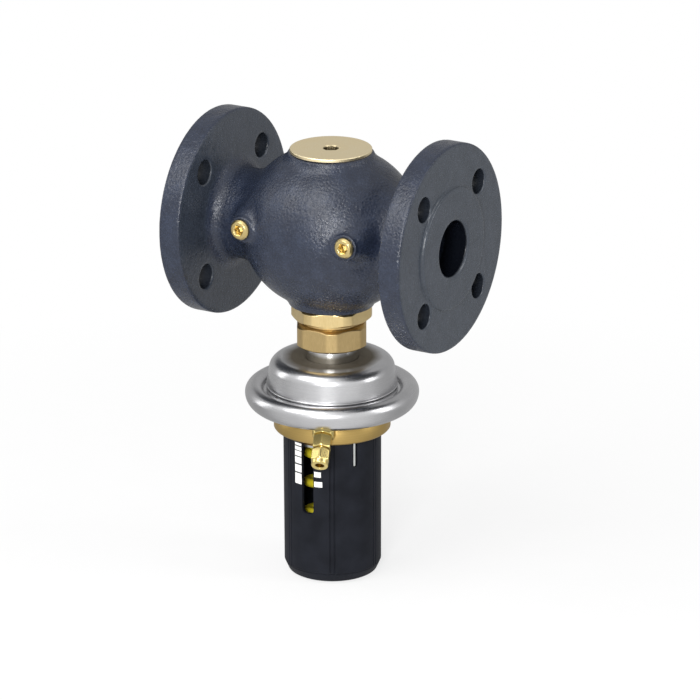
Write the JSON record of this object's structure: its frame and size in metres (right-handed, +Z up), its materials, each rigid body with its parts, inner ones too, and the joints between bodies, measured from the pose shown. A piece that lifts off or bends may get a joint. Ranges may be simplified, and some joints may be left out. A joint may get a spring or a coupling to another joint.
{
  "type": "differential pressure regulator",
  "caption": "Flanged globe regulator with a diaphragm actuator below, an angled sensing fitting and a black setting handle with a window on its spring.",
  "frame": {"origin": "where the pipe's axis and the valve's axis cross, in the middle of the belly", "axes": "+X along the pipe towards the outlet flange, +Z up along the valve's axis, -Y to the front with the port plugs and the handle's window"},
  "size_m": [0.2, 0.15, 0.3342],
  "materials": {
    "cast_iron_paint": "satin paint on a cast grain",
    "turned_brass": "fine turned, pale gold",
    "nut_brass": "satin, brushed",
    "bright_brass": "bright turned",
    "inner_brass": "satin",
    "brushed_steel": "spun, finely brushed",
    "polished_steel": "polished",
    "inner_steel": "machined",
    "zinc_plate": "pale zinc plate",
    "gasket": "matte",
    "black_plastic": "fine matte moulding",
    "yellow_paint": "satin"
  },
  "bodies": {
    "valve": {"valve_body": "cast_iron_paint", "top_cover": "turned_brass", "cover_gasket": "gasket", "port_plugs": "bright_brass", "seat_ring": "inner_steel", "balance_cylinder": "inner_steel", "valve_insert": "turned_brass", "insert_gasket": "gasket", "guide_bush": "inner_brass", "stem_seals": "gasket", "union_nut": "nut_brass", "union_gasket": "gasket", "neck_tube": "polished_steel", "upper_casing": "brushed_steel", "rolled_rim": "brushed_steel", "lower_casing": "nut_brass", "gland_bush": "inner_brass", "gland_seals": "gasket", "diaphragm": "gasket", "spring_seat": "zinc_plate", "setting_spring": "yellow_paint", "fitting_body": "bright_brass", "fitting_nut": "bright_brass", "fitting_ferrule": "bright_brass"},
    "stem": {"valve_stem": "inner_steel", "valve_cone": "inner_steel", "cone_seal": "gasket", "cone_nut": "inner_steel", "balance_piston": "inner_brass", "piston_seal": "gasket", "piston_nut": "inner_steel", "actuator_stem": "inner_steel", "upper_plate": "inner_steel", "lower_plate": "inner_steel", "plate_nut": "inner_steel"},
    "handle": {"setting_handle": "black_plastic", "handle_cap": "black_plastic", "locking_pin": "inner_steel"},
    "spring_carrier": {"spring_plate": "inner_steel", "thrust_washer": "inner_brass"},
    "setting_nut": {"setting_nut": "inner_brass"}
  },
  "joints": [
    {"name": "stem_slide", "type": "slide", "parent": "valve", "child": "stem", "axis": [0, 0, 1], "range_m": [0, 0.01], "deforming": ["diaphragm"]},
    {"name": "handle_turn", "type": "hinge", "parent": "valve", "child": "handle", "pos_m": [0, 0, -0.2], "axis": [0, 0, 1], "range_deg": [0, 2700]},
    {"name": "plate_slide", "type": "slide", "parent": "stem", "child": "spring_carrier", "axis": [0, 0, 1], "range_m": [0, 0.03], "deforming": ["setting_spring"]},
    {"name": "nut_turn", "type": "hinge", "parent": "spring_carrier", "child": "setting_nut", "pos_m": [0, 0, -0.24], "axis": [0, 0, 1], "range_deg": [0, 2700]}
  ],
  "couplings": [
    {"joint": "handle_turn", "follows": "plate_slide", "rad_per_m": 1570.8},
    {"joint": "nut_turn", "follows": "plate_slide", "rad_per_m": 1570.8}
  ]
}
